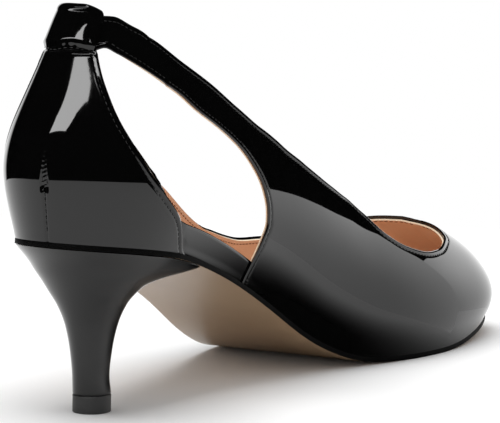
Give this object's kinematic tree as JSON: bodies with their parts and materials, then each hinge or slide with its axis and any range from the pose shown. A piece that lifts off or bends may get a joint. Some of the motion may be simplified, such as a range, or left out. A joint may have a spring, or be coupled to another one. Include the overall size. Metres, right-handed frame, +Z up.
{
  "type": "pointed toe kitten heel pump with side cut-out and strap",
  "caption": "Pointed toe pump on a low kitten heel, hollow for a foot, with a large cut-out on the inner side and a strap that runs from the vamp back into a fold-over heel loop.",
  "frame": {"origin": "centre of the heel tip's underside, on the floor the shoe stands on", "axes": "+X forward to the toe, +Y to the shoe's outer side, +Z up"},
  "size_m": [0.2483, 0.0733, 0.1203],
  "materials": {
    "patent": "black patent leather, glossy, with a tan lining inside",
    "lining": "tan smooth lining leather, matt",
    "sole": "khaki brown smooth sole, black painted edge",
    "heel_cover": "black patent leather over the heel block, glossy",
    "heel_tip": "dark grey hard rubber, satin"
  },
  "bodies": {
    "root": {"upper": "patent", "heel_loop": "patent", "outsole": "sole", "insole": "lining", "heel": "heel_cover", "heel_tip": "heel_tip"}
  },
  "joints": []
}
